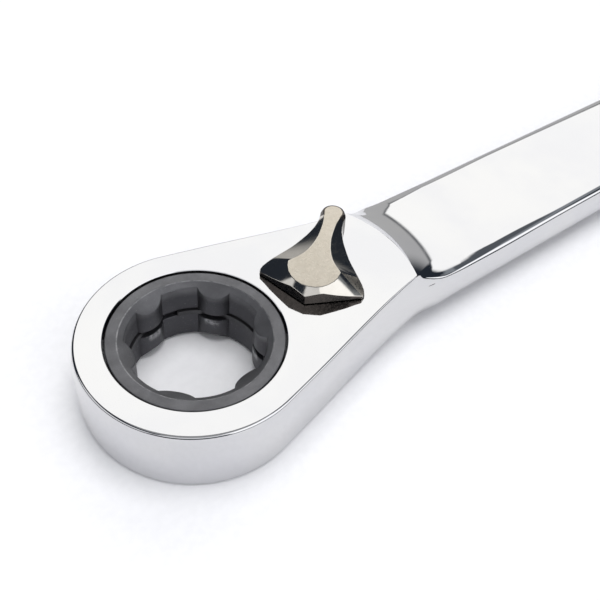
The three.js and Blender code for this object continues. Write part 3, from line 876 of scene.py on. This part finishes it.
class Paint(Graph):
    """A node material built round one Principled shader."""

    def __init__(self, name, metallic=0.0):
        self.material = bpy.data.materials.new(name)
        self.material.use_nodes = True
        super().__init__(self.material.node_tree)
        self.shader = self.tree.nodes["Principled BSDF"]
        self.shader.inputs["Metallic"].default_value = metallic
        self.place = self.node("ShaderNodeTexCoord").outputs["Object"]

    def noise(self, scale, detail, roughness=0.5, stretch=(1, 1, 1)):
        place = self.place
        if stretch != (1, 1, 1):
            mapping = self.node("ShaderNodeMapping")
            mapping.inputs["Scale"].default_value = stretch
            self.feed(mapping.inputs["Vector"], place)
            place = mapping.outputs["Vector"]
        node = self.node("ShaderNodeTexNoise")
        self.feed(node.inputs["Vector"], place)
        self.feed(node.inputs["Scale"], scale)
        self.feed(node.inputs["Detail"], detail)
        self.feed(node.inputs["Roughness"], roughness)
        return node.outputs["Fac"]

    def mix(self, share, a, b):
        """A colour between two, each given as plain numbers or as another node's output."""
        node = self.node("ShaderNodeMix", data_type="RGBA")
        self.feed(node.inputs["Factor"], share)
        for name, value in (("A", a), ("B", b)):
            socket = next(s for s in node.inputs if s.name == name and s.type == "RGBA")
            self.feed(socket, (*value, 1.0) if isinstance(value, tuple) else value)
        return next(s for s in node.outputs if s.type == "RGBA")

    def color(self, source):
        self.feed(self.shader.inputs["Base Color"], source)

    def roughness(self, source):
        self.feed(self.shader.inputs["Roughness"], source)

    def bump(self, source, strength, distance, after=None):
        node = self.node("ShaderNodeBump")
        self.feed(node.inputs["Strength"], strength)
        self.feed(node.inputs["Distance"], distance)
        self.feed(node.inputs["Height"], source)
        if after:
            self.feed(node.inputs["Normal"], after)
        self.feed(self.shader.inputs["Normal"], node.outputs["Normal"])
        return node.outputs["Normal"]


def polished_chrome():
    paint = Paint("polished_chrome", metallic=1.0)
    cloud = paint.noise(90, 3)
    paint.color(paint.mix(paint.remap(cloud, 0.35, 0.65), (0.62, 0.62, 0.635), (0.65, 0.648, 0.65)))
    haze = paint.noise(700, 5, 0.6)
    paint.roughness(paint.remap(haze, 0.3, 0.75, 0.035, 0.075))
    wave = paint.noise(60, 2, 0.4)
    waved = paint.bump(wave, 0.05, 0.0004)
    fine = paint.noise(2600, 4, 0.6)
    paint.bump(fine, 0.02, 0.00002, waved)
    return paint.material


def grained(paint):
    """The fine matt grain that both phosphated steels share. Gives back how strong its specks are."""
    grain = paint.noise(5200, 6, 0.65)
    paint.roughness(paint.remap(grain, 0.3, 0.7, 0.38, 0.55))
    paint.bump(grain, 0.25, 0.00004)
    return paint.remap(grain, 0.6, 0.72)


def black_spring_steel():
    paint = Paint("black_spring_steel", metallic=0.85)
    specks = grained(paint)
    patches = paint.remap(paint.noise(420, 3), 0.3, 0.7)
    dark = paint.mix(patches, (0.06, 0.06, 0.0636), (0.081, 0.081, 0.0852))
    paint.color(paint.mix(specks, dark, (0.144, 0.144, 0.15)))
    return paint.material


# Where the gear's colour changes, in millimetres: the height over which the bore
# darkens as painted shade, the heights where nuts have rubbed its lobes, how far behind
# a lobe's crest that reaches, and the half width of the painted highlight round the cone's rim.
BORE_SHADE_Z = (6.6, 7.9)
RUB_FADE_Z = (2.5, 3.7)
RUB_END_FADE = 0.2
RUB_DEPTH = (0.1, 0.3)
RIM_HIGHLIGHT_WIDTH = (0.03, 0.1)
RIM_HIGHLIGHT_Z = (8.2, 8.4)


def gear_steel():
    """Phosphated steel, with painted shade darkening it down the bore, rubbed bright at the lobes, and a
    painted highlight line round the cone's rim.
    """
    paint = Paint("gear_steel", metallic=0.85)
    specks = grained(paint)

    def product(a, b):
        return paint.calculate("MULTIPLY", a, b)

    def rise(source, low, high):
        return paint.remap(source, low * MM, high * MM, 0, 1)

    def fall(source, low, high):
        return paint.remap(source, low * MM, high * MM, 1, 0)

    axes = paint.node("ShaderNodeSeparateXYZ")
    paint.feed(axes.inputs["Vector"], paint.place)
    x, y, z = (axes.outputs[axis] for axis in "XYZ")
    x = paint.calculate("SUBTRACT", x, RING_X * MM)
    radius = paint.calculate("SQRT", paint.calculate("ADD", product(x, x), product(y, y)))

    patches = paint.remap(paint.noise(420, 3), 0.3, 0.7)
    color = paint.mix(patches, (0.15, 0.15, 0.158), (0.20, 0.20, 0.21))
    # painted shade: the steel darkens down into the bore
    bore_shade = product(fall(z, *BORE_SHADE_Z), fall(radius, CONE_RADIUS - 0.2, CONE_RADIUS))
    color = paint.mix(bore_shade, color, (0.075, 0.075, 0.083))
    color = paint.mix(product(specks, 0.8), color, (0.32, 0.32, 0.33))

    rub = paint.remap(paint.noise(1100, 5, 0.7), 0.38, 0.62)
    near, far = RUB_DEPTH
    lobe = fall(radius, CREST_RADIUS + near, CREST_RADIUS + far)
    band = product(rise(z, *RUB_FADE_Z), fall(z, STOP_GROOVE[1], STOP_GROOVE[1] + RUB_END_FADE))
    rubbed = product(rub, product(lobe, band))
    # painted highlight: a bright line round the cone's rim
    from_rim = paint.calculate("ABSOLUTE", paint.calculate("SUBTRACT", radius, CONE_RADIUS * MM))
    rim_highlight_strength = paint.remap(paint.noise(700, 4, 0.7), 0.4, 0.6, 0.15, 0.8)
    rim = product(product(fall(from_rim, *RIM_HIGHLIGHT_WIDTH), rim_highlight_strength), rise(z, *RIM_HIGHLIGHT_Z))
    # real rubbing wear on the lobes, joined with the painted highlight round the rim
    wear_and_highlight = paint.calculate("MAXIMUM", rubbed, rim)
    paint.color(paint.mix(wear_and_highlight, color, (0.40, 0.40, 0.41)))
    return paint.material


def satin_nickel():
    paint = Paint("satin_nickel", metallic=1.0)
    grain = paint.noise(4200, 5, 0.6)
    cloud = paint.noise(1400, 4)
    paint.color(paint.mix(paint.remap(cloud, 0.3, 0.7), (0.515, 0.47, 0.40), (0.55, 0.505, 0.435)))
    paint.roughness(paint.remap(grain, 0.3, 0.7, 0.26, 0.36))
    paint.bump(grain, 0.12, 0.00002)
    return paint.material


def polished_nickel():
    paint = Paint("polished_nickel", metallic=1.0)
    cloud = paint.noise(400, 3)
    paint.color(paint.mix(paint.remap(cloud, 0.3, 0.7), (0.60, 0.57, 0.52), (0.66, 0.63, 0.58)))
    scratch = paint.noise(900, 3, 0.6, stretch=(1, 6, 1))
    paint.roughness(paint.remap(scratch, 0.3, 0.7, 0.05, 0.12))
    paint.bump(scratch, 0.04, 0.00003)
    return paint.material


# The lever cap's nickel painted darker: painted shade on its lower faces and a painted dark reflection along
# its tail tip's edge.
def shaded_nickel():
    paint = Paint("shaded_nickel", metallic=0.95)
    grain = paint.noise(2600, 5, 0.6)
    paint.color(paint.mix(paint.remap(grain, 0.3, 0.7), (0.06, 0.052, 0.047), (0.11, 0.095, 0.085)))
    paint.roughness(paint.remap(grain, 0.3, 0.7, 0.18, 0.32))
    paint.bump(grain, 0.12, 0.00002)
    return paint.material


def spring_steel():
    paint = Paint("spring_steel", metallic=1.0)
    grain = paint.noise(2500, 4, 0.6)
    paint.color(paint.mix(paint.remap(grain, 0.3, 0.7), (0.42, 0.42, 0.43), (0.55, 0.55, 0.56)))
    paint.roughness(paint.remap(grain, 0.3, 0.7, 0.22, 0.36))
    paint.bump(grain, 0.1, 0.00002)
    return paint.material


def seal_rubber():
    paint = Paint("seal_rubber")
    grain = paint.noise(4000, 4, 0.6)
    paint.color(paint.mix(paint.remap(grain, 0.3, 0.7), (0.012, 0.012, 0.013), (0.03, 0.03, 0.032)))
    paint.roughness(0.7)
    paint.bump(grain, 0.2, 0.00003)
    return paint.material


def floor_paper():
    paint = Paint("floor_paper")
    grain = paint.noise(900, 4, 0.6)
    paint.color(paint.mix(paint.remap(grain, 0.3, 0.7), (0.86, 0.86, 0.88), (0.89, 0.89, 0.91)))
    paint.roughness(0.85)
    paint.bump(grain, 0.05, 0.00004)
    return paint.material


# --------------------------------------------------------------- putting it up

chrome = polished_chrome()
phosphate = gear_steel()
black_spring = black_spring_steel()
nickel_satin = satin_nickel()
nickel_polished = polished_nickel()
nickel_shaded = shaded_nickel()
steel = spring_steel()
rubber = seal_rubber()

body = wrench_body(chrome)
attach(body, "body")
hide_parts("wrench_body")

gear = ratchet_gear(phosphate)
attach(gear, "gear")
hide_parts("ratchet_gear")

cap, post = reversing_lever(nickel_satin, nickel_polished, nickel_shaded)
for piece in (cap, post):
    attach(piece, "lever")
    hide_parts("reversing_lever")

for node, material in (
    ("gear_snap_ring", black_spring),
    ("bore_stop_ring", black_spring),
    ("lever_seal_ring", rubber),
    ("lever_clip", steel),
    ("pawl_plunger", steel),
    ("plunger_spring", steel),
    ("pawl", black_spring),
):
    for slot in frame["nodes"][node].material_slots:
        slot.material = material

# ------------------------------------------------------------ floor and lights

# The middle of the ring head's top face, and level directions away from the
# photograph's viewpoint and to its right
FACE = Vector((RING_X, 0, 2 * MIDDLE_Z)) * MM
AWAY = Vector((0.6769, 0.7361, 0.0))
SIDE = Vector((0.7361, -0.6769, 0.0))

FLOOR_SIZE = 6.0
OVERHEAD_AZIMUTH = 20
OVERHEAD_ELEVATION = 86
OVERHEAD_DISTANCE = 1.4
OVERHEAD_SIZE = 0.9
OVERHEAD_WATTS = 12.8


def towards(azimuth, elevation=0.0):
    """A direction from the wrench, in degrees: azimuth is turned from straight away towards the right."""
    turn = math.radians(azimuth)
    rise = math.radians(elevation)
    level = AWAY * math.cos(turn) + SIDE * math.sin(turn)
    return level * math.cos(rise) + Vector((0, 0, math.sin(rise)))


def studio_floor():
    bm = bmesh.new()
    bmesh.ops.create_grid(bm, x_segments=24, y_segments=24, size=FLOOR_SIZE / 2)
    plane = mesh_object("studio_floor", bm, [floor_paper()])
    plane.location.z = BODY_LOW.z * MM


def overhead_light():
    """A large soft light that brightens matt surfaces and the floor, but isn't mirrored in the chrome."""
    data = bpy.data.lights.new("overhead", "AREA")
    data.shape = "SQUARE"
    data.size = OVERHEAD_SIZE
    data.energy = OVERHEAD_WATTS
    light = link_object("overhead", data)
    from_face = towards(OVERHEAD_AZIMUTH, OVERHEAD_ELEVATION)
    light.location = FACE + from_face * OVERHEAD_DISTANCE
    light.rotation_mode = "QUATERNION"
    light.rotation_quaternion = (-from_face).to_track_quat("-Z", "Y")
    light.visible_glossy = False


# Soft panels in the surroundings. A row is the azimuth of the panel's middle and
# its half width, its lowest and highest elevation, the width of its soft edge, all
# in degrees, then its strength and its tint. In order: the main panel beyond the
# wrench, a grey backdrop under it, a panel on the right, its weaker continuation
# behind the camera, one on the left, and two dim steps in the gap between the
# main panel and the right one.
WARM_WHITE = (1.0, 0.995, 0.975)
WARM_GREY = (1.0, 0.99, 0.97)
COOL_WHITE = (0.98, 0.985, 1.0)
GAP_BLUE = (0.9, 0.95, 1.0)
PANELS = (
    (0, 40, 26, 60, 3, 1.42, WARM_WHITE),
    (2, 25, -4, 24, 4, 0.55, WARM_GREY),
    (111, 33, 12, 64, 3, 1.5, COOL_WHITE),
    (175, 31, 30, 64, 3, 0.9, COOL_WHITE),
    (-117, 36, 17, 48, 3, 0.9, COOL_WHITE),
    (59, 19, 38, 44, 3, 0.3, GAP_BLUE),
    (59, 19, 43, 64, 3, 0.11, GAP_BLUE),
)
CEILING_EDGE = (64, 70)
CEILING_STRENGTH = 0.35
DIM_SURROUNDINGS = (0.024, 0.03, 0.042)
BACKGROUND_SEEN = (0.95, 0.95, 0.95)


def sine(degrees):
    return math.sin(math.radians(degrees))


def cosine(degrees):
    return math.cos(math.radians(degrees))


class Surroundings(Graph):
    """The studio round the wrench, as light from each direction."""

    def __init__(self, world):
        world.use_nodes = True
        super().__init__(world.node_tree)
        self.direction = self.node("ShaderNodeTexCoord").outputs["Generated"]
        self.height = self.dot((0, 0, 1))

    def dot(self, vector):
        node = self.node("ShaderNodeVectorMath", operation="DOT_PRODUCT")
        self.feed(node.inputs[0], self.direction)
        self.feed(node.inputs[1], vector)
        return node.outputs["Value"]

    def scale(self, vector, factor):
        node = self.node("ShaderNodeVectorMath", operation="SCALE")
        self.feed(node.inputs[0], vector)
        self.feed(node.inputs["Scale"], factor)
        return node.outputs["Vector"]

    def add(self, a, b):
        node = self.node("ShaderNodeVectorMath", operation="ADD")
        self.feed(node.inputs[0], a)
        self.feed(node.inputs[1], b)
        return node.outputs["Vector"]

    def panel(self, azimuth, half_width, low, high, edge):
        """A soft mask, 1 inside a panel and 0 outside it."""
        level_part = self.calculate(
            "SQRT", self.calculate("SUBTRACT", 1.0, self.calculate("MULTIPLY", self.height, self.height))
        )
        facing = self.calculate("DIVIDE", self.dot(tuple(towards(azimuth))), level_part)
        across = self.remap(facing, cosine(half_width + edge), cosine(half_width - edge))
        above = self.remap(self.height, sine(low - edge / 2), sine(low + edge / 2), 0, 1)
        below = self.remap(self.height, sine(high - edge / 2), sine(high + edge / 2), 1, 0)
        return self.calculate("MULTIPLY", across, self.calculate("MULTIPLY", above, below))

    def build(self):
        """The panels light and are mirrored in the wrench; the camera itself sees plain near-white."""
        light = DIM_SURROUNDINGS
        for *shape, strength, tint in PANELS:
            power = self.calculate("MULTIPLY", self.panel(*shape), strength)
            light = self.add(light, self.scale(tint, power))
        low, high = CEILING_EDGE
        ceiling = self.remap(self.height, sine(low), sine(high), 0, CEILING_STRENGTH)
        light = self.add(light, self.scale((1.0, 1.0, 1.0), ceiling))
        is_camera = self.node("ShaderNodeLightPath").outputs["Is Camera Ray"]
        unseen = self.scale(light, self.calculate("SUBTRACT", 1.0, is_camera))
        seen = self.scale(BACKGROUND_SEEN, is_camera)
        self.feed(self.tree.nodes["Background"].inputs["Color"], self.add(unseen, seen))


studio_floor()
overhead_light()
studio = bpy.data.worlds.new("studio")
bpy.context.scene.world = studio
Surroundings(studio).build()

# ------------------------------------------------------------------------ camera

# The photograph's viewpoint. The offset is in millimetres from the middle of the
# head's top face; the axes are its right, up and back before the roll and turn.
EYE_OFFSET = Vector((-27.84, -45.82, 63.25))
EYE_RIGHT = SIDE
EYE_UP = Vector((0.4937, 0.5368, 0.6841))
EYE_BACK = Vector((-0.4631, -0.5036, 0.7293))
EYE_ROLL = math.radians(6.382)
EYE_TURN = Matrix.Rotation(math.radians(0.34), 3, "Z")
LENS = 46.5
SENSOR = 36.0


def camera():
    data = bpy.data.cameras.new("camera")
    data.lens = LENS
    data.sensor_width = SENSOR
    data.clip_start = 0.005
    data.clip_end = 20.0
    eye = link_object("camera", data)
    right = EYE_RIGHT * math.cos(EYE_ROLL) + EYE_UP * math.sin(EYE_ROLL)
    up = EYE_UP * math.cos(EYE_ROLL) - EYE_RIGHT * math.sin(EYE_ROLL)
    axes = Matrix((right, up, EYE_BACK)).transposed()
    place = Matrix.Translation(FACE + EYE_TURN @ EYE_OFFSET * MM)
    eye.matrix_world = place @ (EYE_TURN @ axes).to_4x4()
    bpy.context.scene.camera = eye


camera()
bpy.context.scene.view_settings.view_transform = "Standard"
